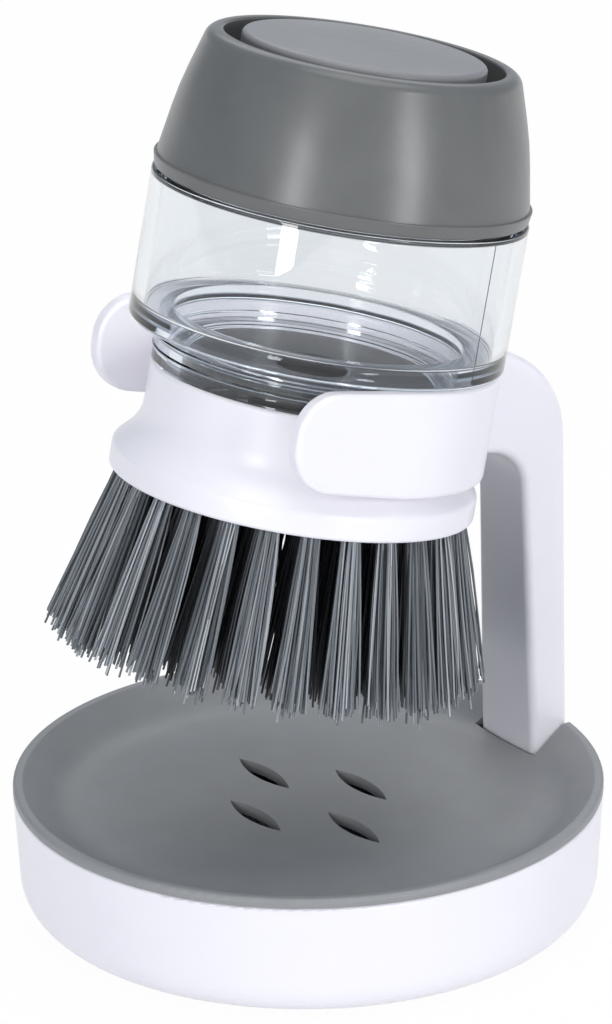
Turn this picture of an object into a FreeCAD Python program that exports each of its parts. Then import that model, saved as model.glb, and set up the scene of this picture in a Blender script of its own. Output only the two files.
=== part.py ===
import FreeCAD, Part
import math
import os

# Soap-dispensing palm brush parked in its drip stand.
# Millimetres. Origin at the centre of the base on the table, +Z up, the fork opens towards -Y.
# The brush is drawn upright about its own axis, level 0 at the tank's lower edge,
# and is then tilted and lifted into the fork.

# Clearances
slide_gap = 0.3
seat_gap = 0.1
nest_gap = 0.05
cut_overrun = 2.0

# Base cup
base_radius = 50.4
base_height = 21.6
base_draft = 1.2
base_wall = 2.4
base_floor = 2.4
base_corner = 6.0
base_rim_round = 0.6
foot_radius = 5.0
foot_stand = 0.8
foot_recess = 0.8
foot_inset = 17.0
foot_count = 4
foot_round = 0.3

# Drip tray
tray_rim_height = 1.6
tray_rim_width = 1.6
tray_rim_round = 0.7
tray_depth = 5.1
tray_sheet = 2.0
tray_slope_run = 8.7
tray_floor_round = 9.0
slot_length = 15.5
slot_width = 3.8
slot_spread_x = 13.6
slot_spread_y = 10.9

# Post of the stand
post_inset = 1.0
post_depth = 7.4
post_lean = 1.9
post_foot_width = 16.5
post_top_width = 12.8
post_seat_level = 10.0
post_shoulder = 18.0
post_arch = 7.5
post_edge_round = 1.5
post_boss_wall = 1.6
notch_front_gap = 0.6
notch_side_gap = 0.35
screw_radius = 1.2
screw_length = 13.5
screw_head_radius = 2.2
screw_head_height = 2.0
screw_spread = 8.4
screw_set_back = 2.6
screw_drive_radius = 0.9
screw_drive_depth = 1.0

# Place of the brush in the stand
brush_tilt = 12.0
brush_lift = 101.0

# Fork
fork_inset = 0.3
fork_wall = 2.8
fork_stem = 15.7
fork_reach = 23.5
fork_height = 17.9
fork_tip_rise = 1.5
fork_tip_round = 7.2
fork_toe_round = 8.5
fork_edge_round = 0.8
fork_bend_round = 60.0

# Tank
tank_radius = 31.5
tank_height = 25.1
tank_wall = 2.2
tank_floor = 3.0
tank_edge_round = 0.9
tank_inner_round = 0.8
tank_roof_sheet = 1.0
tank_roof_round = 0.4
neck_step = 4.9
neck_wall = 2.3
neck_ledge = 2.8
neck_edge_round = 0.3
neck_length = 6.7
neck_bead = 0.3
neck_bead_pitch = 2.1
neck_bead_count = 2
spigot_step = 1.7
spigot_length = 7.3
spigot_lead = 0.5
carrier_stop = 0.6
carrier_stop_sheet = 1.1
carrier_drop = 3.7
collar_step = 5.1
collar_height = 4.4
collar_wall = 2.0

# Valve under the tank
carrier_sheet = 2.4
carrier_well_radius = 6.0
carrier_spout_radius = 9.5
carrier_spout_length = 7.0
carrier_pocket_radius = 8.0
carrier_pocket_depth = 3.6
carrier_rim_round = 0.3
seal_section = 0.6
valve_sheet = 1.3
valve_dish_radius = 4.6
valve_dish_depth = 1.6
valve_slit_length = 5.0
valve_slit_width = 0.2
retainer_bore = 5.4

# Brush head
head_gasket_sheet = 1.4
head_gasket_width = 3.6
head_rim_inset = 0.7
head_rim_height = 4.1
head_height = 18.7
head_waist_length = 10.4
head_flare_round = 8.0
head_rim_round = 1.6
head_edge_round = 0.7
head_outlet_radius = 4.6
outlet_bush_wall = 3.6

# Bristle tufts
tuft_rings = 4
tuft_counts = (26, 20, 14, 8)
tuft_splays = (13.5, 10.0, 6.0, 2.5)
tuft_rim_margin = 3.0
tuft_bush_margin = 2.6
tuft_root_radius = 1.6
tuft_root_depth = 6.0
tuft_tip_radius = 3.1
tuft_length = 28.6
tuft_crown = 1.2
tuft_hole_gap = 0.05

# Cap
cap_overhang = 0.1
cap_height = 24.0
cap_wall = 1.6
cap_band_height = 2.3
cap_band_taper = 0.4
cap_band_round = 0.5
cap_ridge_step = 0.5
cap_ridge_round = 0.2
cap_waist_height = 13.2
cap_waist_inset = 2.4
cap_waist_round = 60.0
cap_crown_inset = 5.7
cap_crown_round = 2.2
cap_lip = 2.5
cap_lip_round = 0.5
well_depth = 4.1
well_ledge = 1.6
sleeve_length = 5.3
sleeve_wall = 1.5
liner_wall = 1.6
liner_deck = 2.0
liner_rib = 1.4
liner_air_radius = 1.6
cap_gasket_sheet = 1.1

# Pump in the cap
button_ring_gap = 3.0
button_wall = 1.6
button_rise = 0.4
button_crown = 0.6
button_edge_round = 1.0
button_crown_round = 120.0
button_flange = 1.1
button_flange_height = 1.5
button_boss_radius = 3.0
button_boss_length = 2.0
button_play = 0.25
bellows_side_gap = 3.2
bellows_wall = 0.9
bellows_fold = 2.6
bellows_folds = 3
spring_wire = 1.0
spring_side_gap = 3.1
spring_turns = 5
inlet_stem_radius = 1.0
inlet_cap_radius = 2.4
inlet_cap_height = 0.7
inlet_edge_gap = 1.0

# Levels of the stand, from the table up
base_floor_top = foot_stand + base_floor
tray_top = base_height + tray_rim_height
tray_floor_top = tray_top - tray_depth
post_back = base_radius - post_inset
post_front = post_back - post_depth
foot_circle = base_radius - foot_inset
tray_floor_radius = base_radius - tray_slope_run

# Radii and levels of the brush, levels from the tank's lower edge along its axis
neck_radius = tank_radius - neck_step
tank_inner = tank_radius - tank_wall
tank_roof = tank_height - tank_roof_sheet
tank_lip_top = tank_floor + tank_inner_round
tank_shoulder_low = tank_roof - tank_roof_round
neck_bore = neck_radius - neck_wall
spigot_radius = neck_radius - spigot_step
spigot_bore = neck_bore - neck_ledge
spigot_end = -neck_length - spigot_length
collar_radius = tank_radius - collar_step
collar_bore = collar_radius - collar_wall
collar_top = tank_height + collar_height
head_rim_radius = tank_radius - head_rim_inset
head_top = -neck_length - slide_gap
head_bottom = head_top - head_height
head_socket = spigot_end - head_gasket_sheet - 2 * seat_gap
tuft_outer_circle = head_rim_radius - tuft_rim_margin
outlet_bush_radius = head_outlet_radius + outlet_bush_wall
tuft_inner_circle = outlet_bush_radius + tuft_bush_margin
tuft_ring_pitch = (tuft_outer_circle - tuft_inner_circle) / (tuft_rings - 1)
fork_outer = tank_radius - fork_inset
fork_inner = fork_outer - fork_wall
brush_set_back = post_back - fork_stem - fork_outer
fork_top = -slide_gap
fork_bottom = fork_top - fork_height
cap_radius = tank_radius + cap_overhang
cap_low = tank_height + slide_gap
cap_top = cap_low + cap_height
well_radius = cap_radius - cap_crown_inset - cap_lip
button_radius = well_radius - button_ring_gap
sleeve_top = cap_top - well_depth
sleeve_low = sleeve_top - sleeve_length
deck_low = collar_top + cap_gasket_sheet + 2 * seat_gap
deck_top = deck_low + liner_deck
button_under = cap_top + button_rise - button_wall
spring_radius = button_radius - button_wall - spring_side_gap - spring_wire / 2
bellows_radius = spring_radius - spring_wire / 2 - bellows_side_gap
inlet_place_radius = collar_bore - inlet_edge_gap - inlet_cap_radius

ORIGIN = FreeCAD.Vector(0, 0, 0)
X_AXIS = FreeCAD.Vector(1, 0, 0)
Z_AXIS = FreeCAD.Vector(0, 0, 1)
FULL_TURN = 360.0


def in_xz(across, up):
    return FreeCAD.Vector(across, 0, up)


def in_yz(across, up):
    return FreeCAD.Vector(0, across, up)


def outline(corners, place):
    """Closed face through corners (u, v) or (u, v, radius); place turns (u, v) into a point."""
    stops = []
    for index, corner in enumerate(corners):
        at = FreeCAD.Vector(corner[0], corner[1], 0)
        if len(corner) == 2:
            stops.append((at, None, at))
            continue
        radius = corner[2]
        before = corners[index - 1]
        after = corners[(index + 1) % len(corners)]
        back = (FreeCAD.Vector(before[0], before[1], 0) - at).normalize()
        ahead = (FreeCAD.Vector(after[0], after[1], 0) - at).normalize()
        half = back.getAngle(ahead) / 2
        reach = radius / math.tan(half)
        middle = at + (back + ahead).normalize() * (radius / math.sin(half) - radius)
        stops.append((at + back * reach, middle, at + ahead * reach))
    edges = []
    for index, (start, middle, end) in enumerate(stops):
        if middle is not None:
            ends = [place(point.x, point.y) for point in (start, middle, end)]
            edges.append(Part.Arc(*ends).toShape())
        following = stops[(index + 1) % len(stops)][0]
        if following.distanceToPoint(end) > Part.Precision.confusion():
            line = Part.LineSegment(place(end.x, end.y), place(following.x, following.y))
            edges.append(line.toShape())
    return Part.Face(Part.Wire(edges))


def turned(corners):
    """Solid of revolution about the Z axis from corners (radius, level)."""
    return outline(corners, in_xz).revolve(ORIGIN, Z_AXIS, FULL_TURN)


def rod(radius, low, high, across=0, along=0):
    """Upright cylinder between two levels."""
    return Part.makeCylinder(radius, high - low, FreeCAD.Vector(across, along, low))


def block(x_low, x_high, y_low, y_high, z_low, z_high):
    """Box between two corners."""
    corner = FreeCAD.Vector(x_low, y_low, z_low)
    return Part.makeBox(x_high - x_low, y_high - y_low, z_high - z_low, corner)


def parked(shape):
    """Tilt and lift a shape from the upright brush frame into the stand."""
    moved = shape.copy()
    moved.rotate(ORIGIN, X_AXIS, -brush_tilt)
    moved.translate(FreeCAD.Vector(0, brush_set_back, brush_lift))
    return moved


def in_stand(along, level):
    """Y and Z in the stand of a point in the brush's middle plane."""
    tilt = math.radians(brush_tilt)
    y = brush_set_back + along * math.cos(tilt) + level * math.sin(tilt)
    z = brush_lift - along * math.sin(tilt) + level * math.cos(tilt)
    return y, z


# The stand

def make_base_cup():
    inner = base_radius - base_wall
    inner_corner = base_corner - base_wall
    cup = turned([
        (0, foot_stand),
        (base_radius - base_draft, foot_stand, base_corner),
        (base_radius, base_height, base_rim_round),
        (inner, base_height, base_rim_round),
        (inner - base_draft, base_floor_top, inner_corner),
        (0, base_floor_top),
    ])
    half = post_foot_width / 2
    boss_half = half + post_boss_wall
    boss = block(-boss_half, boss_half, post_front - post_boss_wall, base_radius,
                 foot_stand + foot_recess, post_seat_level)
    shell = turned([
        (0, foot_stand),
        (base_radius - base_draft, foot_stand, base_corner),
        (base_radius, base_height),
        (0, base_height),
    ])
    cup = cup.fuse(boss.common(shell)).removeSplitter()
    notch = block(-half - notch_side_gap, half + notch_side_gap, post_front, base_radius + cut_overrun,
                  post_seat_level, base_height + cut_overrun)
    cup = cup.cut(notch)
    for across, along in screw_places():
        head_room = screw_head_radius + slide_gap
        cup = cup.cut(rod(head_room, 0, screw_head_level(), across, along))
        cup = cup.cut(rod(screw_radius + slide_gap, 0, post_seat_level + cut_overrun, across, along))
    for across, along in foot_places():
        cup = cup.cut(rod(foot_radius + nest_gap, 0, foot_stand + foot_recess, across, along))
    return cup


def foot_places():
    step = 2 * math.pi / foot_count
    angles = [step * (index + 0.5) for index in range(foot_count)]
    return [(foot_circle * math.cos(angle), foot_circle * math.sin(angle)) for angle in angles]


def make_rubber_feet():
    high = foot_stand + foot_recess - nest_gap
    feet = []
    for across, along in foot_places():
        foot = turned([(0, 0), (foot_radius, 0, foot_round), (foot_radius, high), (0, high)])
        foot.translate(FreeCAD.Vector(across, along, 0))
        feet.append(foot)
    return Part.makeCompound(feet)


def screw_places():
    along = post_front + screw_set_back
    return [(-screw_spread / 2, along), (screw_spread / 2, along)]


def screw_head_level():
    return base_floor_top + screw_head_height + seat_gap


def make_post_screws():
    head_high = screw_head_level() - nest_gap
    head_low = head_high - screw_head_height
    screws = []
    for across, along in screw_places():
        screw = rod(screw_head_radius, head_low, head_high, across, along)
        screw = screw.fuse(rod(screw_radius, head_high, head_high + screw_length, across, along))
        drive = rod(screw_drive_radius, head_low - cut_overrun, head_low + screw_drive_depth, across, along)
        screws.append(screw.cut(drive).removeSplitter())
    return Part.makeCompound(screws)


def make_drip_tray():
    rim_low = base_height + seat_gap
    guide = base_radius - base_wall - slide_gap - nest_gap
    rim_inner = base_radius - tray_rim_width
    floor_low = tray_floor_top - tray_sheet
    tray = turned([
        (0, floor_low),
        (tray_floor_radius - tray_sheet / 2, floor_low, tray_floor_round),
        (guide, rim_low - tray_sheet / 2),
        (guide, rim_low),
        (base_radius, rim_low),
        (base_radius, tray_top, tray_rim_round),
        (rim_inner, tray_top, tray_rim_round),
        (tray_floor_radius, tray_floor_top, tray_floor_round),
        (0, tray_floor_top),
    ])
    half = post_foot_width / 2 + notch_side_gap
    notch = block(-half, half, post_front - notch_front_gap, base_radius + cut_overrun,
                  0, tray_top + cut_overrun)
    tray = tray.cut(notch)
    for across, along in ((-slot_spread_x, 0), (slot_spread_x, 0), (0, -slot_spread_y), (0, slot_spread_y)):
        tray = tray.cut(lens_cutter(across, along, floor_low - cut_overrun, tray_floor_top + cut_overrun))
    return tray


def lens_cutter(across, along, low, high):
    """Upright lens between two arcs, its long way along X."""
    left = FreeCAD.Vector(across - slot_length / 2, along, low)
    right = FreeCAD.Vector(across + slot_length / 2, along, low)
    front = FreeCAD.Vector(across, along - slot_width / 2, low)
    rear = FreeCAD.Vector(across, along + slot_width / 2, low)
    edges = [Part.Arc(left, front, right).toShape(), Part.Arc(right, rear, left).toShape()]
    return Part.Face(Part.Wire(edges)).extrude(FreeCAD.Vector(0, 0, high - low))


def make_fork():
    """U of even wall round the neck, drawn upright, with rounded tips."""
    front = -fork_reach
    outer = rod(fork_outer, fork_bottom, fork_top)
    outer = outer.fuse(block(-fork_outer, fork_outer, front, 0, fork_bottom, fork_top))
    side = outline([
        (front, fork_bottom + fork_tip_rise, fork_toe_round),
        (0, fork_bottom, fork_bend_round),
        (fork_outer, fork_bottom),
        (fork_outer, fork_top),
        (front, fork_top, fork_tip_round),
    ], in_yz)
    side.translate(FreeCAD.Vector(-fork_outer, 0, 0))
    side = side.extrude(FreeCAD.Vector(2 * fork_outer, 0, 0))
    fork = outer.removeSplitter().common(side).cut(fork_mouth()).removeSplitter()
    return fork.makeFillet(fork_edge_round, rim_edges(fork))


def rim_edges(fork):
    """Edges that run along the fork's inner and outer rims, not those across or up its wall."""
    rims = []
    for edge in fork.Edges:
        box = edge.BoundBox
        if box.YLength > nest_gap:
            rims.append(edge)
    return rims


def fork_mouth():
    """Room for the neck inside the fork, open to the front."""
    low = fork_bottom - cut_overrun
    high = fork_top + cut_overrun
    room = rod(fork_inner, low, high)
    return room.fuse(block(-fork_inner, fork_inner, -fork_reach - cut_overrun, 0, low, high))


def post_front_at(level):
    """Y of the post's front face at a level; it leans forward up to the arch."""
    arch_level = in_stand(fork_outer, fork_bottom)[1]
    return post_front - post_lean * (level - tray_floor_top) / (arch_level - tray_floor_top)


def long_edges(post, seat, start):
    """Edges round the post's two sides, without those at its foot and inside the fork."""
    chosen = []
    for edge in post.Edges:
        spread = edge.BoundBox.XLength
        middle = edge.CenterOfMass
        if spread < post_top_width / 2 and middle.z > seat + post_edge_round and middle.y > start + fork_wall:
            chosen.append(edge)
    return chosen


def make_stand_post():
    seat = post_seat_level + nest_gap
    inside = (fork_inner + fork_outer) / 2
    under_start = in_stand(inside, fork_bottom)
    over_start = in_stand(inside, fork_top)
    slope = math.tan(math.radians(brush_tilt))
    under_level = under_start[1] - (post_front - post_lean - under_start[0]) * slope
    over_level = over_start[1] - (post_back - over_start[0]) * slope
    side = outline([
        under_start,
        (post_front_at(under_level), under_level, post_arch),
        (post_front_at(seat), seat),
        (post_back, seat),
        (post_back, over_level, post_shoulder),
        over_start,
    ], in_yz)
    wide = post_foot_width / 2
    side.translate(FreeCAD.Vector(-wide, 0, 0))
    post = side.extrude(FreeCAD.Vector(2 * wide, 0, 0))
    narrow = post_top_width / 2
    top = over_start[1]
    front_view = outline([(-wide, seat), (wide, seat), (narrow, top), (-narrow, top)], in_xz)
    post = post.common(front_view.extrude(FreeCAD.Vector(0, base_radius, 0)))
    post = post.makeFillet(post_edge_round, long_edges(post, seat, min(under_start[0], over_start[0])))
    hole_top = screw_head_level() + screw_length + seat_gap
    for across, along in screw_places():
        post = post.cut(rod(screw_radius + nest_gap, 0, hole_top, across, along))
    return post.cut(parked(fork_mouth())).fuse(parked(make_fork())).removeSplitter()


# The tank and its valve

def make_tank_floor():
    """Floor of the tank with a low lip, the neck, the stop for the valve and the spigot for the head."""
    stop_top = -carrier_drop + carrier_stop_sheet
    corners = [
        (tank_inner, tank_lip_top),
        (tank_radius, tank_lip_top),
        (tank_radius, 0, tank_edge_round),
        (neck_radius, 0),
    ]
    for index in range(neck_bead_count):
        level = -neck_bead_pitch * (index + 1)
        corners.append((neck_radius, level + neck_bead))
        corners.append((neck_radius + neck_bead, level))
        corners.append((neck_radius, level - neck_bead))
    corners += [
        (neck_radius, -neck_length),
        (spigot_radius, -neck_length),
        (spigot_radius, spigot_end, spigot_lead),
        (spigot_bore, spigot_end),
        (spigot_bore, -carrier_drop),
        (spigot_bore - carrier_stop, -carrier_drop),
        (spigot_bore - carrier_stop, stop_top),
        (neck_bore, stop_top),
        (neck_bore, tank_floor, neck_edge_round),
        (tank_inner, tank_floor, tank_inner_round),
    ]
    return turned(corners)


def make_tank_wall():
    low = tank_lip_top + nest_gap
    high = tank_shoulder_low - nest_gap
    return turned([(tank_inner, low), (tank_radius, low), (tank_radius, high), (tank_inner, high)])


def make_tank_shoulder():
    """Roof of the tank with the collar that the cap screws onto."""
    return turned([
        (collar_bore, collar_top),
        (collar_radius, collar_top),
        (collar_radius, tank_height),
        (tank_radius, tank_height, tank_roof_round),
        (tank_radius, tank_shoulder_low),
        (tank_inner, tank_shoulder_low),
        (tank_inner, tank_roof, tank_roof_round),
        (collar_bore, tank_roof),
    ])


def carrier_radius():
    return spigot_bore - slide_gap


def carrier_low():
    return -carrier_drop - nest_gap - carrier_sheet


def make_valve_carrier():
    low = carrier_low()
    top = low + carrier_sheet
    spout_low = low - carrier_spout_length
    pocket = spout_low + carrier_pocket_depth
    disc = turned([
        (carrier_well_radius, top, carrier_rim_round),
        (carrier_radius(), top, carrier_rim_round),
        (carrier_radius(), low),
        (carrier_spout_radius, low),
        (carrier_spout_radius, spout_low),
        (carrier_pocket_radius, spout_low),
        (carrier_pocket_radius, pocket),
        (carrier_well_radius, pocket),
    ])
    groove = Part.makeTorus(seal_ring_radius(), seal_section + nest_gap, FreeCAD.Vector(0, 0, seal_level()))
    return disc.cut(groove)


def seal_ring_radius():
    return spigot_bore - nest_gap - seal_section


def seal_level():
    return carrier_low() + carrier_sheet / 2


def make_carrier_seal():
    return Part.makeTorus(seal_ring_radius(), seal_section, FreeCAD.Vector(0, 0, seal_level()))


def valve_top():
    return carrier_low() - carrier_spout_length + carrier_pocket_depth - nest_gap


def make_slit_valve():
    top = valve_top()
    low = top - valve_sheet
    radius = carrier_pocket_radius - nest_gap
    dish_low = low - valve_dish_depth
    valve = turned([
        (0, dish_low + valve_sheet),
        (valve_dish_radius - valve_sheet, top),
        (radius, top),
        (radius, low),
        (valve_dish_radius, low),
        (valve_sheet, dish_low),
        (0, dish_low),
    ])
    reach = valve_slit_length / 2
    half = valve_slit_width / 2
    for long, short in ((reach, half), (half, reach)):
        valve = valve.cut(block(-long, long, -short, short, dish_low - cut_overrun, top + cut_overrun))
    return valve


def make_valve_retainer():
    high = valve_top() - valve_sheet - nest_gap
    low = carrier_low() - carrier_spout_length
    radius = carrier_pocket_radius - nest_gap
    return turned([(retainer_bore, low), (radius, low), (radius, high), (retainer_bore, high)])


# The brush head

def make_head_gasket():
    high = spigot_end - seat_gap
    low = high - head_gasket_sheet
    outer = spigot_radius - spigot_lead
    inner = outer - head_gasket_width
    return turned([(inner, low), (outer, low), (outer, high), (inner, high)])


def make_brush_head():
    socket = spigot_radius + slide_gap
    waist = head_top - head_waist_length
    rim_top = head_bottom + head_rim_height
    head = turned([
        (socket, head_top, head_edge_round / 2),
        (neck_radius, head_top, head_edge_round),
        (neck_radius, waist, head_flare_round),
        (head_rim_radius, rim_top, head_rim_round),
        (head_rim_radius, head_bottom, head_edge_round),
        (outlet_bush_radius + nest_gap, head_bottom),
        (outlet_bush_radius + nest_gap, head_socket),
        (socket, head_socket),
    ])
    holes = []
    for ring in range(tuft_rings):
        holes += tufts_of_ring(ring, tuft_hole())
    return head.cut(Part.makeCompound(holes))


def make_outlet_bush():
    """Middle of the head, round the bore that the soap leaves by."""
    return turned([
        (head_outlet_radius, head_bottom, head_edge_round),
        (outlet_bush_radius, head_bottom),
        (outlet_bush_radius, head_socket),
        (head_outlet_radius, head_socket, head_edge_round),
    ])


def tuft_hole():
    """Cutter for one tuft hole, its mouth at level 0 and its depth upward."""
    return rod(tuft_root_radius + tuft_hole_gap, -cut_overrun, tuft_root_depth + tuft_hole_gap)


def tuft():
    """One tuft: a straight root above level 0 that fans out to a domed tip below it."""
    return turned([
        (0, tuft_root_depth),
        (tuft_root_radius, tuft_root_depth),
        (tuft_root_radius, 0),
        (tuft_tip_radius, -tuft_length + tuft_crown),
        (tuft_tip_radius / 2, -tuft_length),
        (0, -tuft_length),
    ])


def tufts_of_ring(ring, pattern):
    """Copies of a pattern, tilted outward, evenly spaced on one ring of the head."""
    radius = tuft_outer_circle - ring * tuft_ring_pitch
    count = tuft_counts[ring]
    copies = []
    for index in range(count):
        copy = pattern.copy()
        copy.rotate(ORIGIN, FreeCAD.Vector(0, 1, 0), -tuft_splays[ring])
        copy.translate(FreeCAD.Vector(radius, 0, head_bottom))
        copy.rotate(ORIGIN, Z_AXIS, FULL_TURN * (index + ring / 2) / count)
        copies.append(copy)
    return copies


def make_bristles(ring):
    return Part.makeCompound(tufts_of_ring(ring, tuft()))


# The cap and its pump

def dome_radius(level):
    """Outer radius of the dome's straight runs at a level."""
    waist = cap_low + cap_waist_height
    foot = cap_low + cap_band_height
    if level < waist:
        share = (level - foot) / (waist - foot)
        return cap_radius - cap_ridge_step - share * (cap_waist_inset - cap_ridge_step)
    share = (level - waist) / (cap_top - waist)
    return cap_radius - cap_waist_inset - share * (cap_crown_inset - cap_waist_inset)


def make_cap_shell():
    foot = cap_low + cap_band_height
    band_radius = cap_radius - cap_band_taper
    waist = cap_low + cap_waist_height
    ledge_low = sleeve_top - well_ledge
    sleeve_bore = button_radius + button_play
    sleeve_outer = sleeve_bore + sleeve_wall
    return turned([
        (band_radius - cap_wall, cap_low),
        (band_radius, cap_low, cap_band_round),
        (cap_radius, foot, cap_ridge_round),
        (dome_radius(foot), foot),
        (dome_radius(waist), waist, cap_waist_round),
        (dome_radius(cap_top), cap_top, cap_crown_round),
        (well_radius, cap_top, cap_lip_round),
        (well_radius, sleeve_top),
        (sleeve_bore, sleeve_top),
        (sleeve_bore, sleeve_low),
        (sleeve_outer, sleeve_low),
        (sleeve_outer, ledge_low),
        (dome_radius(ledge_low) - cap_wall, ledge_low),
        (dome_radius(waist) - cap_wall, waist, cap_waist_round),
        (dome_radius(foot) - cap_wall, foot),
    ])


def make_cap_liner():
    bore = collar_radius + slide_gap
    outer = bore + liner_wall
    low = cap_low + seat_gap
    rib_outer = bellows_radius + nest_gap + liner_rib
    rib_top = deck_top + liner_rib
    liner = turned([
        (bore, low),
        (outer, low),
        (outer, deck_top),
        (rib_outer, deck_top),
        (rib_outer, rib_top),
        (bellows_radius + nest_gap, rib_top),
        (bellows_radius + nest_gap, deck_top),
        (liner_air_radius, deck_top),
        (liner_air_radius, deck_low),
        (bore, deck_low),
    ])
    return liner.cut(rod(inlet_stem_radius + nest_gap, deck_low - cut_overrun, deck_top + cut_overrun,
                         inlet_place_radius))


def make_cap_gasket():
    low = collar_top + seat_gap
    high = low + cap_gasket_sheet
    return turned([(collar_bore, low), (collar_radius, low), (collar_radius, high), (collar_bore, high)])


def make_inlet_valve():
    under = deck_low - nest_gap
    low = under - inlet_cap_height
    over = deck_top + nest_gap
    high = over + inlet_cap_height
    barb = (inlet_stem_radius + inlet_cap_radius) / 2
    valve = turned([
        (0, low),
        (inlet_cap_radius / 2, low),
        (inlet_cap_radius, under),
        (inlet_stem_radius, under),
        (inlet_stem_radius, over),
        (barb, over),
        (inlet_stem_radius, high),
        (0, high),
    ])
    valve.translate(FreeCAD.Vector(inlet_place_radius, 0, 0))
    return valve


def make_pump_button():
    edge = cap_top + button_rise
    flange_top = sleeve_low - slide_gap
    flange_low = flange_top - button_flange_height
    flange_radius = button_radius + button_flange
    bore = button_radius - button_wall
    return turned([
        (0, edge + button_crown),
        (button_radius / 2, edge + button_crown, button_crown_round),
        (button_radius, edge, button_edge_round),
        (button_radius, flange_top),
        (flange_radius, flange_top),
        (flange_radius, flange_low),
        (bore, flange_low),
        (bore, button_under, button_edge_round),
        (button_boss_radius, button_under),
        (button_boss_radius, button_under - button_boss_length),
        (0, button_under - button_boss_length),
    ])


def make_pump_bellows():
    low = deck_top + nest_gap
    high = button_under - button_boss_length - nest_gap
    step = (high - low - 2 * bellows_wall) / (2 * bellows_folds)
    outer = [(bellows_radius, low), (bellows_radius, low + bellows_wall)]
    for index in range(bellows_folds):
        level = low + bellows_wall + step * (2 * index + 1)
        outer.append((bellows_radius - bellows_fold, level))
        outer.append((bellows_radius, level + step))
    wall = [(radius - bellows_wall, level) for radius, level in outer[1:]]
    return turned(outer + [(bellows_radius, high), (0, high), (0, high - bellows_wall)] + wall[::-1]
                  + [(bellows_radius - bellows_wall, low)])


def make_return_spring():
    low = deck_top + spring_wire / 2 + nest_gap
    high = button_under - spring_wire / 2 - nest_gap
    pitch = (high - low) / spring_turns
    path = Part.makeHelix(pitch, high - low, spring_radius)
    heading = FreeCAD.Vector(0, spring_radius * 2 * math.pi, pitch)
    section = Part.Wire(Part.Circle(FreeCAD.Vector(spring_radius, 0, 0), heading, spring_wire / 2).toShape())
    spring = Part.Wire(path).makePipeShell([section], True, True)
    spring.translate(FreeCAD.Vector(0, 0, low))
    print("return spring, least gap between turns:", round(pitch - spring_wire, 2))
    return spring


def make_parts():
    upright = {
        "tank_floor": make_tank_floor(),
        "tank_wall": make_tank_wall(),
        "tank_shoulder": make_tank_shoulder(),
        "valve_carrier": make_valve_carrier(),
        "carrier_seal": make_carrier_seal(),
        "slit_valve": make_slit_valve(),
        "valve_retainer": make_valve_retainer(),
        "head_gasket": make_head_gasket(),
        "brush_head": make_brush_head(),
        "outlet_bush": make_outlet_bush(),
        "bristles_outer_ring": make_bristles(0),
        "bristles_second_ring": make_bristles(1),
        "bristles_third_ring": make_bristles(2),
        "bristles_inner_ring": make_bristles(3),
        "cap_shell": make_cap_shell(),
        "cap_liner": make_cap_liner(),
        "cap_gasket": make_cap_gasket(),
        "inlet_valve": make_inlet_valve(),
        "pump_button": make_pump_button(),
        "pump_bellows": make_pump_bellows(),
        "return_spring": make_return_spring(),
    }
    parts = {name: parked(shape) for name, shape in upright.items()}
    parts["base_cup"] = make_base_cup()
    parts["rubber_feet"] = make_rubber_feet()
    parts["post_screws"] = make_post_screws()
    parts["drip_tray"] = make_drip_tray()
    parts["stand_post"] = make_stand_post()
    return parts


os.makedirs("parts", exist_ok=True)
for node, shape in make_parts().items():
    shape.exportStep("parts/" + node + ".step")
    print(node, "solids", len(shape.Solids), "valid", shape.isValid(), "volume", round(shape.Volume, 1))
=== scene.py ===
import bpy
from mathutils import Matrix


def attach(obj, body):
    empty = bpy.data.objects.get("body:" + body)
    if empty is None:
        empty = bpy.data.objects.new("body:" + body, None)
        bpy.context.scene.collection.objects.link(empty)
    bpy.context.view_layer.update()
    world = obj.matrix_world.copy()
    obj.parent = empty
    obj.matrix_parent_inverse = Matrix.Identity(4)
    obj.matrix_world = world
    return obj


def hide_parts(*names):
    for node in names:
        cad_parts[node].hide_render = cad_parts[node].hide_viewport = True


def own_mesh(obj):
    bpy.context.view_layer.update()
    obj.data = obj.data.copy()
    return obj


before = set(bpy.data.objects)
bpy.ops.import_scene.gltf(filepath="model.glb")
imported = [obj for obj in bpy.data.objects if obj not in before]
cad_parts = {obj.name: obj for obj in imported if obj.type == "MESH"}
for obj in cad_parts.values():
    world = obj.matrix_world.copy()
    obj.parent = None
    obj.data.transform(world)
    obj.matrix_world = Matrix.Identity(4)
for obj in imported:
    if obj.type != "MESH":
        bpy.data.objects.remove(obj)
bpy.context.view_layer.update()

import math
import random

import bmesh
import bpy
from mathutils import Matrix, Vector

# Sizes are millimetres and MM turns them into metres.
# The brush is drawn upright about its own axis, level 0 at the tank's lower edge, then parked in the fork.
MM = 0.001
TURN_STEPS = 192
ARC_STEP = math.radians(7.5)
SHARP_EDGE = math.radians(40.0)
TINY = 1e-6

# Photograph and camera; angles are degrees
image_width = 612
image_height = 1024
sensor_width = 36.0
focal_pixels = 5375.0
camera_azimuth = 56.0
camera_elevation = 21.45
camera_distance = 900.0
camera_roll = -0.6
camera_target = (0.06, 0.08, 71.0)
camera_clip_far = 100.0e3

# Place of the brush in the stand
brush_tilt = 12.0
brush_set_back = 2.5
brush_lift = 101.0

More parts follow.
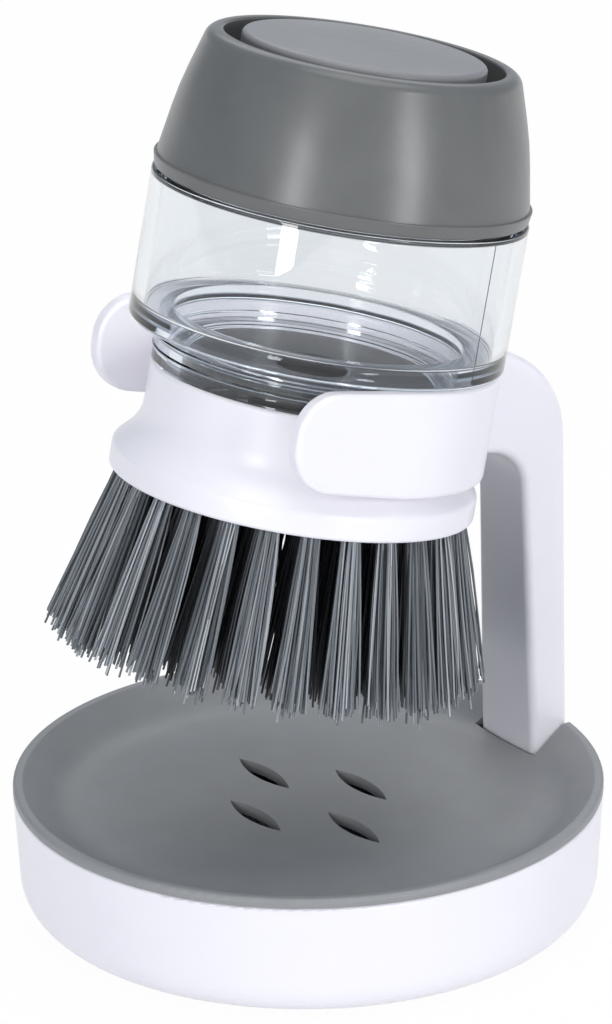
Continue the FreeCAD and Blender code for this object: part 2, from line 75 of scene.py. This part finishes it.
# Tank
tank_radius = 31.5
tank_height = 25.1
tank_wall = 2.2
tank_floor = 3.0
tank_edge_round = 0.9
tank_inner_round = 0.8
tank_roof_sheet = 1.0
tank_roof_round = 0.4
neck_radius = 26.6
neck_bore = 24.3
neck_edge_round = 0.3
neck_length = 6.7
neck_bead = 0.3
neck_bead_pitch = 2.1
neck_bead_count = 2
spigot_radius = 24.9
spigot_bore = 21.5
spigot_end = -14.0
carrier_stop = 0.6
carrier_drop = 3.7
carrier_stop_sheet = 1.1
collar_radius = 26.4
collar_bore = 24.4
collar_height = 4.4
seam_azimuth = 109.0
seam_width = 0.28
seam_height = 0.06
seam_sink = 0.05
seam_low = 1.2
seam_high = 24.2

# Cap and button
cap_radius = 31.6
cap_low = 25.4
cap_height = 24.0
cap_wall = 1.6
cap_band_height = 2.3
cap_band_taper = 0.4
cap_band_round = 0.5
cap_ridge_step = 0.5
cap_ridge_round = 0.2
cap_waist_height = 13.2
cap_waist_inset = 2.4
cap_waist_round = 60.0
cap_crown_inset = 5.7
cap_crown_round = 2.2
cap_lip = 2.5
cap_lip_round = 0.5
well_depth = 4.1
well_ledge = 1.6
sleeve_length = 5.3
sleeve_wall = 1.5
button_ring_gap = 3.0
button_play = 0.25
button_rise = 0.4
button_crown = 0.6
button_edge_round = 1.0
button_crown_round = 120.0
button_wall = 1.6
button_flange = 1.1
button_flange_height = 1.5
button_slide_gap = 0.3

# Head and bristles
head_top = -7.0
head_height = 18.7
head_waist_length = 10.4
head_flare_round = 8.0
head_rim_radius = 30.8
head_rim_height = 4.1
head_rim_round = 1.6
head_edge_round = 0.7
head_socket_level = -15.6
head_socket_radius = 25.2
head_outlet_radius = 4.6
tuft_counts = (26, 20, 14, 8)
tuft_splays = (13.5, 10.0, 6.0, 2.5)
tuft_outer_circle = 27.8
tuft_inner_circle = 10.8
tuft_root_radius = 1.6
tuft_length = 28.6
filaments_per_tuft = 52
filament_radius = 0.2
filament_sides = 5
filament_steps = 5
filament_fans = (1.95, 2.6, 2.9, 3.2)
filament_fan_spread = 0.22
filament_root_depth = 1.5
filament_length_spread = 0.9
filament_stray = 0.35
filament_bow = 0.25
filament_seed = 11

# Levels, radii and a pitch that follow from the sizes above
cap_foot = cap_low + cap_band_height
cap_waist = cap_low + cap_waist_height
cap_top = cap_low + cap_height
well_radius = cap_radius - cap_crown_inset - cap_lip
button_radius = well_radius - button_ring_gap
sleeve_top = cap_top - well_depth
sleeve_low = sleeve_top - sleeve_length
head_bottom = head_top - head_height
tuft_ring_pitch = (tuft_outer_circle - tuft_inner_circle) / (len(tuft_counts) - 1)

# Colours, linear red, green and blue; a pair is the dark and the light end of a faint mottle
white_pair = ((0.865, 0.843, 0.885), (0.885, 0.863, 0.905))
cap_pair = ((0.122, 0.125, 0.123), (0.138, 0.141, 0.138))
button_pair = ((0.225, 0.225, 0.234), (0.245, 0.245, 0.254))
tray_pair = ((0.26, 0.264, 0.268), (0.282, 0.286, 0.29))
inner_pair = ((0.26, 0.26, 0.27), (0.3, 0.3, 0.31))
dark_pair = ((0.022, 0.023, 0.026), (0.042, 0.043, 0.047))
steel_pair = ((0.45, 0.45, 0.46), (0.6, 0.6, 0.61))
silicone_pair = ((0.55, 0.55, 0.55), (0.65, 0.65, 0.65))
black_rubber_pair = ((0.02, 0.02, 0.02), (0.04, 0.04, 0.04))
foot_rubber_pair = ((0.2, 0.2, 0.2), (0.28, 0.28, 0.28))
clear_tint = (0.925, 0.935, 0.945)
clear_ior = 1.5
seam_tint = (0.6, 0.62, 0.66)
depth_tint = (0.25, 0.55, 0.8)
depth_tint_density = 16.0
dark_specular = 0.1
floor_color = (0.85, 0.85, 0.86)

# Shades that single filaments take, each at its place between 0 and 1
pale_shades = (
    (0.0, (0.05, 0.055, 0.06)),
    (0.35, (0.16, 0.175, 0.19)),
    (0.75, (0.27, 0.29, 0.31)),
    (1.0, (0.5, 0.52, 0.54)),
)
# Darker copy of the same filament tones for the inner rings: painted shade for the shadow among the tufts
painted_shade_tones = (
    (0.0, (0.012, 0.013, 0.014)),
    (0.6, (0.05, 0.053, 0.057)),
    (1.0, (0.16, 0.17, 0.18)),
)

# Roughness, least and most
white_rough = (0.26, 0.34)
cap_rough = (0.27, 0.34)
button_rough = (0.36, 0.44)
tray_rough = (0.42, 0.5)
inner_rough = (0.4, 0.5)
dark_rough = (0.14, 0.26)
clear_rough = (0.0, 0.015)
nylon_rough = (0.28, 0.42)
rubber_rough = (0.55, 0.75)
steel_rough = (0.22, 0.4)
floor_rough = 0.9

# Places on the noise where a mottle's dark and light ends lie
mottle_places = (0.3, 0.7)

# Lamps: azimuth, elevation and distance from the object's middle, width, height, power in watts
lamp_target = (0.0, 0.0, 85.0)
lamps = {
    "key_right": (97.0, 15.0, 900.0, 170.0, 440.0, 2.5),
    "key_left": (27.0, 16.0, 900.0, 150.0, 440.0, 2.6),
    "top": (110.0, 78.0, 900.0, 700.0, 700.0, 3.4),
    "rear": (235.0, 40.0, 1000.0, 700.0, 600.0, 2.0),
}
ambient_color = (0.8, 0.88, 1.0)
ambient_strength = 0.44
floor_radius = 30.0e3
floor_glow_share = 0.97


def parked():
    """Place of the brush in the fork."""
    tilt = Matrix.Rotation(-math.radians(brush_tilt), 4, "X")
    return Matrix.Translation(Vector((0, brush_set_back, brush_lift)) * MM) @ tilt


def direction(azimuth, elevation):
    """Unit vector from the object towards a viewer at that azimuth and elevation."""
    turn = math.radians(azimuth)
    rise = math.radians(elevation)
    level = math.cos(rise)
    return Vector((math.sin(turn) * level, -math.cos(turn) * level, math.sin(rise)))


def rounded(corners):
    """Points of a closed outline through corners (u, v) or (u, v, radius)."""
    points = []
    for index, corner in enumerate(corners):
        at = Vector(corner[:2])
        if len(corner) == 2:
            points.append(at)
            continue
        radius = corner[2]
        back = (Vector(corners[index - 1][:2]) - at).normalized()
        ahead = (Vector(corners[(index + 1) % len(corners)][:2]) - at).normalized()
        half = back.angle(ahead) / 2
        reach = radius / math.tan(half)
        centre = at + (back + ahead).normalized() * (radius / math.sin(half))
        start = at + back * reach - centre
        end = at + ahead * reach - centre
        turn = math.atan2(start.cross(end), start.dot(end))
        steps = max(2, math.ceil(abs(turn) / ARC_STEP))
        for step in range(steps + 1):
            points.append(centre + Matrix.Rotation(turn * step / steps, 2) @ start)
    return points


def add_object(name, bm, place):
    """New object in the scene, its mesh moved to its place."""
    mesh = bpy.data.meshes.new(name)
    bmesh.ops.recalc_face_normals(bm, faces=bm.faces)
    bm.to_mesh(mesh)
    bm.free()
    mesh.transform(place)
    mesh.shade_smooth()
    mesh.set_sharp_from_angle(angle=SHARP_EDGE)
    piece = bpy.data.objects.new(name, mesh)
    bpy.context.scene.collection.objects.link(piece)
    return piece


def turned(name, corners, place):
    """Piece turned about its axis from corners (radius, level) in millimetres."""
    bm = bmesh.new()
    rings = []
    for point in rounded(corners):
        if point.x < TINY:
            rings.append([bm.verts.new((0, 0, point.y * MM))])
            continue
        ring = []
        for step in range(TURN_STEPS):
            angle = 2 * math.pi * step / TURN_STEPS
            spot = Vector((point.x * math.cos(angle), point.x * math.sin(angle), point.y))
            ring.append(bm.verts.new(spot * MM))
        rings.append(ring)
    for one, other in zip(rings, rings[1:] + rings[:1]):
        for step in range(TURN_STEPS):
            after = (step + 1) % TURN_STEPS
            around = [one[step % len(one)], one[after % len(one)],
                      other[after % len(other)], other[step % len(other)]]
            face = list(dict.fromkeys(around))
            if len(face) > 2:
                bm.faces.new(face)
    return add_object(name, bm, place)


def dress(piece, body, slot, material, *nodes):
    """Give a new piece its body and finish, and hide the nodes it stands for."""
    piece.data.materials.clear()
    piece.data.materials.append(material)
    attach(piece, body)
    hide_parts(*nodes)
    return piece


def coat_node(node, material):
    """Give a carried-over node its finish."""
    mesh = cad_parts[node].data
    mesh.materials.clear()
    mesh.materials.append(material)


# Materials

class Finish:
    """A principled material whose detail comes from noise in object space, in metres."""

    def __init__(self, name, **values):
        self.material = bpy.data.materials.new(name)
        self.material.use_nodes = True
        self.nodes = self.material.node_tree.nodes
        self.links = self.material.node_tree.links
        self.shader = self.nodes["Principled BSDF"]
        self.coords = self.nodes.new("ShaderNodeTexCoord")
        for socket, value in values.items():
            self.shader.inputs[socket.replace("_", " ")].default_value = value

    def noise(self, size, detail=3.0):
        """Noise with features of a size in millimetres."""
        noise = self.nodes.new("ShaderNodeTexNoise")
        noise.inputs["Scale"].default_value = 1 / (size * MM)
        noise.inputs["Detail"].default_value = detail
        self.links.new(self.coords.outputs["Object"], noise.inputs["Vector"])
        return noise.outputs["Fac"]

    def color(self, source, stops):
        """Base colour from stops (place, colour) along a source from 0 to 1."""
        ramp = self.nodes.new("ShaderNodeValToRGB")
        elements = ramp.color_ramp.elements
        while len(elements) < len(stops):
            elements.new(1.0)
        for element, (place, color) in zip(elements, stops):
            element.position = place
            element.color = (*color, 1)
        self.links.new(source, ramp.inputs["Fac"])
        self.links.new(ramp.outputs["Color"], self.shader.inputs["Base Color"])

    def mottle(self, source, pair):
        """Base colour that wanders between the two colours of a pair."""
        self.color(source, list(zip(mottle_places, pair)))

    def rough(self, source, limits):
        """Roughness that wanders between two limits."""
        spread = self.nodes.new("ShaderNodeMapRange")
        spread.inputs["To Min"].default_value = limits[0]
        spread.inputs["To Max"].default_value = limits[1]
        self.links.new(source, spread.inputs["Value"])
        self.links.new(spread.outputs["Result"], self.shader.inputs["Roughness"])

    def bump(self, source, height):
        """Bump of a height in millimetres."""
        bump = self.nodes.new("ShaderNodeBump")
        bump.inputs["Distance"].default_value = height * MM
        self.links.new(source, bump.inputs["Height"])
        self.links.new(bump.outputs["Normal"], self.shader.inputs["Normal"])


def soft_touch_grey(name, pair, rough):
    finish = Finish(name)
    finish.mottle(finish.noise(size=9.0, detail=4.0), pair)
    finish.rough(finish.noise(size=3.0, detail=5.0), rough)
    finish.bump(finish.noise(size=0.35, detail=2.0), height=0.01)
    return finish.material


def moulded_white():
    finish = Finish("moulded_white")
    finish.mottle(finish.noise(size=22.0, detail=2.0), white_pair)
    finish.rough(finish.noise(size=5.0, detail=4.0), white_rough)
    finish.bump(finish.noise(size=7.0, detail=1.0), height=0.01)
    return finish.material


def clear_plastic(name, tint):
    finish = Finish(name, Transmission_Weight=1.0, IOR=clear_ior, Base_Color=(*tint, 1.0))
    finish.rough(finish.noise(size=6.0, detail=2.0), clear_rough)
    finish.bump(finish.noise(size=9.0, detail=1.0), height=0.015)
    return finish


def tank_plastic():
    """Clear plastic that looks bluer the deeper one sees into it."""
    finish = clear_plastic("clear_plastic", clear_tint)
    volume = finish.nodes.new("ShaderNodeVolumeAbsorption")
    volume.inputs["Color"].default_value = (*depth_tint, 1.0)
    volume.inputs["Density"].default_value = depth_tint_density
    finish.links.new(volume.outputs["Volume"], finish.nodes["Material Output"].inputs["Volume"])
    return finish.material


def seam_plastic():
    return clear_plastic("seam_plastic", seam_tint).material


def dark_plastic():
    finish = Finish("dark_plastic", Specular_IOR_Level=dark_specular)
    finish.mottle(finish.noise(size=7.0, detail=3.0), dark_pair)
    finish.rough(finish.noise(size=2.0, detail=4.0), dark_rough)
    finish.bump(finish.noise(size=6.0, detail=1.0), height=0.01)
    return finish.material


def filament_nylon(name, shades):
    finish = Finish(name)
    island = finish.nodes.new("ShaderNodeNewGeometry")
    finish.color(island.outputs["Random Per Island"], shades)
    finish.rough(finish.noise(size=4.0), nylon_rough)
    finish.bump(finish.noise(size=0.5), height=0.01)
    return finish.material


def plain_rubber(name, pair):
    finish = Finish(name)
    finish.mottle(finish.noise(size=4.0), pair)
    finish.rough(finish.noise(size=1.0), rubber_rough)
    finish.bump(finish.noise(size=0.4), height=0.02)
    return finish.material


def drawn_steel():
    finish = Finish("drawn_steel", Metallic=1.0)
    finish.mottle(finish.noise(size=2.0), steel_pair)
    finish.rough(finish.noise(size=0.6), steel_rough)
    finish.bump(finish.noise(size=0.3), height=0.01)
    return finish.material


# Pieces

def make_tank(material):
    inner = tank_radius - tank_wall
    roof = tank_height - tank_roof_sheet
    stop_top = -carrier_drop + carrier_stop_sheet
    corners = [
        (collar_bore, tank_height + collar_height),
        (collar_radius, tank_height + collar_height),
        (collar_radius, tank_height),
        (tank_radius, tank_height, tank_roof_round),
        (tank_radius, 0, tank_edge_round),
        (neck_radius, 0),
    ]
    for index in range(neck_bead_count):
        level = -neck_bead_pitch * (index + 1)
        corners.append((neck_radius, level + neck_bead))
        corners.append((neck_radius + neck_bead, level, neck_bead / 2))
        corners.append((neck_radius, level - neck_bead))
    corners += [
        (neck_radius, -neck_length),
        (spigot_radius, -neck_length),
        (spigot_radius, spigot_end),
        (spigot_bore, spigot_end),
        (spigot_bore, -carrier_drop),
        (spigot_bore - carrier_stop, -carrier_drop),
        (spigot_bore - carrier_stop, stop_top),
        (neck_bore, stop_top),
        (neck_bore, tank_floor, neck_edge_round),
        (inner, tank_floor, tank_inner_round),
        (inner, roof, tank_roof_round),
        (collar_bore, roof),
    ]
    piece = turned("clear_tank", corners, parked())
    # Light passes through clear plastic, so it throws no shadow.
    piece.visible_shadow = False
    return dress(piece, "brush", "clear", material, "tank_floor", "tank_wall", "tank_shoulder")


def make_tank_seam(material):
    """Fine raised parting line down the outside of the tank's wall."""
    bm = bmesh.new()
    facing = direction(seam_azimuth, 0)
    middle = math.atan2(facing.y, facing.x)
    half = seam_width / tank_radius / 2
    outline = ((-half, -seam_sink), (-half / 2, seam_height), (half / 2, seam_height), (half, -seam_sink))
    rings = []
    for level in (seam_low, seam_high):
        ring = []
        for angle, rise in outline:
            radius = tank_radius + rise
            spot = Vector((radius * math.cos(middle + angle), radius * math.sin(middle + angle), level))
            ring.append(bm.verts.new(spot * MM))
        rings.append(ring)
    low, high = rings
    for index in range(len(outline)):
        after = (index + 1) % len(outline)
        bm.faces.new((low[index], low[after], high[after], high[index]))
    bm.faces.new(low[::-1])
    bm.faces.new(high)
    piece = add_object("tank_seam", bm, parked())
    piece.visible_shadow = False
    return dress(piece, "brush", "clear", material, "tank_wall")


def dome_radius(level):
    """Outer radius of the cap's straight runs at a level."""
    if level < cap_waist:
        share = (level - cap_foot) / (cap_waist - cap_foot)
        return cap_radius - cap_ridge_step - share * (cap_waist_inset - cap_ridge_step)
    share = (level - cap_waist) / (cap_top - cap_waist)
    return cap_radius - cap_waist_inset - share * (cap_crown_inset - cap_waist_inset)


def make_cap(material):
    ledge_low = sleeve_top - well_ledge
    band_radius = cap_radius - cap_band_taper
    sleeve_bore = button_radius + button_play
    sleeve_outer = sleeve_bore + sleeve_wall
    corners = [
        (band_radius - cap_wall, cap_low),
        (band_radius, cap_low, cap_band_round),
        (cap_radius, cap_foot, cap_ridge_round),
        (dome_radius(cap_foot), cap_foot),
        (dome_radius(cap_waist), cap_waist, cap_waist_round),
        (dome_radius(cap_top), cap_top, cap_crown_round),
        (well_radius, cap_top, cap_lip_round),
        (well_radius, sleeve_top),
        (sleeve_bore, sleeve_top),
        (sleeve_bore, sleeve_low),
        (sleeve_outer, sleeve_low),
        (sleeve_outer, ledge_low),
        (dome_radius(ledge_low) - cap_wall, ledge_low),
        (dome_radius(cap_waist) - cap_wall, cap_waist, cap_waist_round),
        (dome_radius(cap_foot) - cap_wall, cap_foot),
    ]
    return dress(turned("cap_dome", corners, parked()), "cap", "cap_grey", material, "cap_shell")


def make_button(material):
    edge = cap_top + button_rise
    flange_top = sleeve_low - button_slide_gap
    flange_low = flange_top - button_flange_height
    bore = button_radius - button_wall
    corners = [
        (0, edge + button_crown),
        (button_radius / 2, edge + button_crown, button_crown_round),
        (button_radius, edge, button_edge_round),
        (button_radius, flange_top),
        (button_radius + button_flange, flange_top),
        (button_radius + button_flange, flange_low),
        (bore, flange_low),
        (bore, edge - button_wall, button_edge_round),
        (0, edge - button_wall),
    ]
    return dress(turned("push_button", corners, parked()), "button", "button_grey", material, "pump_button")


def make_springy(name, node, slot, material):
    """Copy of a node on the pump deck, carried by the cap."""
    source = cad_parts[node]
    mesh = source.data.copy()
    mesh.transform(source.matrix_world)
    piece = bpy.data.objects.new(name, mesh)
    bpy.context.scene.collection.objects.link(piece)
    dress(piece, "cap", slot, material, node)
    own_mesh(piece)


def make_head(material):
    corners = [
        (head_socket_radius, head_top, head_edge_round / 2),
        (neck_radius, head_top, head_edge_round),
        (neck_radius, head_top - head_waist_length, head_flare_round),
        (head_rim_radius, head_bottom + head_rim_height, head_rim_round),
        (head_rim_radius, head_bottom, head_edge_round),
        (head_outlet_radius, head_bottom),
        (head_outlet_radius, head_socket_level),
        (head_socket_radius, head_socket_level),
    ]
    piece = turned("flared_head", corners, parked())
    return dress(piece, "head", "white", material, "brush_head", "outlet_bush")


def add_filament(bm, start, end, bow):
    """Round filament from start to end, bowed by a vector at its middle, with a cut tip."""
    rings = []
    for step in range(filament_steps + 1):
        share = step / filament_steps
        centre = start.lerp(end, share) + bow * (4 * share * (1 - share))
        along = (end - start) + bow * (4 * (1 - 2 * share))
        side = along.orthogonal().normalized()
        other = along.cross(side).normalized()
        ring = []
        for turn in range(filament_sides):
            angle = 2 * math.pi * turn / filament_sides
            spoke = side * math.cos(angle) + other * math.sin(angle)
            ring.append(bm.verts.new(centre + spoke * filament_radius * MM))
        rings.append(ring)
    for one, other in zip(rings, rings[1:]):
        for turn in range(filament_sides):
            after = (turn + 1) % filament_sides
            bm.faces.new((one[turn], one[after], other[after], other[turn]))
    bm.faces.new(rings[-1])
    bm.faces.new(rings[0][::-1])


def make_bristles(ring, node, material):
    """Loose filaments of one ring of tufts; every other ring is turned by half a tuft."""
    chance = random.Random(filament_seed + ring)
    radius = tuft_outer_circle - ring * tuft_ring_pitch
    lean = Matrix.Rotation(-math.radians(tuft_splays[ring]), 4, "Y")
    golden_angle = math.pi * (3 - math.sqrt(5))
    bm = bmesh.new()
    for index in range(tuft_counts[ring]):
        turn = Matrix.Rotation(2 * math.pi * (index + ring / 2) / tuft_counts[ring], 4, "Z")
        place = turn @ Matrix.Translation((radius * MM, 0, head_bottom * MM)) @ lean
        for strand in range(filaments_per_tuft):
            reach = math.sqrt((strand + 0.5) / filaments_per_tuft) * (tuft_root_radius - filament_radius)
            angle = strand * golden_angle + chance.uniform(0, 1)
            spot = Vector((math.cos(angle), math.sin(angle), 0)) * reach
            fan = filament_fans[ring] * (1 + chance.uniform(-filament_fan_spread, filament_fan_spread))
            length = tuft_length + chance.gauss(0, filament_length_spread)
            stray = Vector((chance.gauss(0, filament_stray), chance.gauss(0, filament_stray), -length))
            bow = Vector((chance.gauss(0, filament_bow), chance.gauss(0, filament_bow), 0))
            start = spot + Vector((0, 0, filament_root_depth))
            end = spot * fan + stray
            add_filament(bm, place @ (start * MM), place @ (end * MM), place.to_3x3() @ (bow * MM))
    piece = add_object("filaments_" + node, bm, parked())
    return dress(piece, "head", "filament", material, node)


# Studio

def seen_directly(nodes, links):
    """1 for camera, mirrored and see-through rays, 0 for rays that carry light to the object."""
    path = nodes.new("ShaderNodeLightPath")
    most = nodes.new("ShaderNodeMath")
    most.operation = "MAXIMUM"
    links.new(path.outputs["Is Camera Ray"], most.inputs[0])
    links.new(path.outputs["Is Transmission Ray"], most.inputs[1])
    mirrored = nodes.new("ShaderNodeMath")
    mirrored.operation = "MAXIMUM"
    links.new(most.outputs[0], mirrored.inputs[0])
    links.new(path.outputs["Is Glossy Ray"], mirrored.inputs[1])
    return mirrored.outputs[0]


def make_floor():
    bm = bmesh.new()
    bmesh.ops.create_circle(bm, cap_ends=True, segments=TURN_STEPS, radius=floor_radius * MM)
    floor = add_object("studio_floor", bm, Matrix.Identity(4))
    material = bpy.data.materials.new("floor_white")
    material.use_nodes = True
    nodes = material.node_tree.nodes
    links = material.node_tree.links
    surface = nodes["Principled BSDF"]
    surface.inputs["Base Color"].default_value = (*floor_color, 1)
    surface.inputs["Roughness"].default_value = floor_rough
    share = nodes.new("ShaderNodeMapRange")
    share.inputs["To Max"].default_value = floor_glow_share
    links.new(seen_directly(nodes, links), share.inputs["Value"])
    mix = nodes.new("ShaderNodeMixShader")
    links.new(share.outputs["Result"], mix.inputs["Fac"])
    links.new(surface.outputs["BSDF"], mix.inputs[1])
    links.new(nodes.new("ShaderNodeEmission").outputs["Emission"], mix.inputs[2])
    links.new(mix.outputs["Shader"], nodes["Material Output"].inputs["Surface"])
    floor.data.materials.append(material)


def make_world():
    world = bpy.data.worlds.new("studio")
    bpy.context.scene.world = world
    world.use_nodes = True
    background = world.node_tree.nodes["Background"]
    background.inputs["Color"].default_value = (*ambient_color, 1)
    background.inputs["Strength"].default_value = ambient_strength


def make_lamps():
    for name, (azimuth, elevation, distance, width, height, power) in lamps.items():
        light = bpy.data.lights.new(name, "AREA")
        light.shape = "RECTANGLE"
        light.size = width * MM
        light.size_y = height * MM
        light.energy = power
        lamp = bpy.data.objects.new(name, light)
        bpy.context.scene.collection.objects.link(lamp)
        towards = direction(azimuth, elevation)
        lamp.location = (Vector(lamp_target) + towards * distance) * MM
        lamp.rotation_euler = towards.to_track_quat("Z", "Y").to_euler()


def make_camera():
    data = bpy.data.cameras.new("photo_camera")
    data.sensor_width = sensor_width
    data.lens = focal_pixels / max(image_width, image_height) * sensor_width
    data.clip_end = camera_clip_far * MM
    camera = bpy.data.objects.new("photo_camera", data)
    bpy.context.scene.collection.objects.link(camera)
    towards = direction(camera_azimuth, camera_elevation)
    roll = Matrix.Rotation(math.radians(camera_roll), 4, "Z")
    turn = towards.to_track_quat("Z", "Y").to_matrix().to_4x4()
    place = Matrix.Translation((Vector(camera_target) + towards * camera_distance) * MM)
    camera.matrix_world = place @ turn @ roll
    bpy.context.scene.camera = camera


def make_object():
    white = moulded_white()
    dark = dark_plastic()
    steel = drawn_steel()
    silicone = plain_rubber("silicone", silicone_pair)
    black_rubber = plain_rubber("black_rubber", black_rubber_pair)
    foot_rubber = plain_rubber("foot_rubber", foot_rubber_pair)
    inner_grey = soft_touch_grey("inner_grey", inner_pair, inner_rough)
    cap_grey = soft_touch_grey("cap_grey", cap_pair, cap_rough)
    button_grey = soft_touch_grey("button_grey", button_pair, button_rough)
    tray_grey = soft_touch_grey("tray_grey", tray_pair, tray_rough)
    pale_nylon = filament_nylon("pale_nylon", pale_shades)
    painted_shade_nylon = filament_nylon("painted_shade_nylon", painted_shade_tones)
    make_tank(tank_plastic())
    make_tank_seam(seam_plastic())
    make_cap(cap_grey)
    make_button(button_grey)
    make_springy("soft_bellows", "pump_bellows", "silicone", silicone)
    make_springy("coil_spring", "return_spring", "steel", steel)
    make_head(white)
    make_bristles(0, "bristles_outer_ring", pale_nylon)
    # The inner rings take the darker copy of the nylon, painted shade between the tufts
    make_bristles(1, "bristles_second_ring", painted_shade_nylon)
    make_bristles(2, "bristles_third_ring", painted_shade_nylon)
    make_bristles(3, "bristles_inner_ring", painted_shade_nylon)
    finishes = {
        "base_cup": white,
        "stand_post": white,
        "drip_tray": tray_grey,
        "cap_liner": inner_grey,
        "cap_gasket": silicone,
        "inlet_valve": silicone,
        "valve_carrier": dark,
        "carrier_seal": black_rubber,
        "slit_valve": silicone,
        "valve_retainer": dark,
        "head_gasket": silicone,
        "post_screws": steel,
        "rubber_feet": foot_rubber,
    }
    for node, material in finishes.items():
        coat_node(node, material)


make_object()
make_floor()
make_world()
make_lamps()
make_camera()
bpy.context.scene.view_settings.view_transform = "Standard"
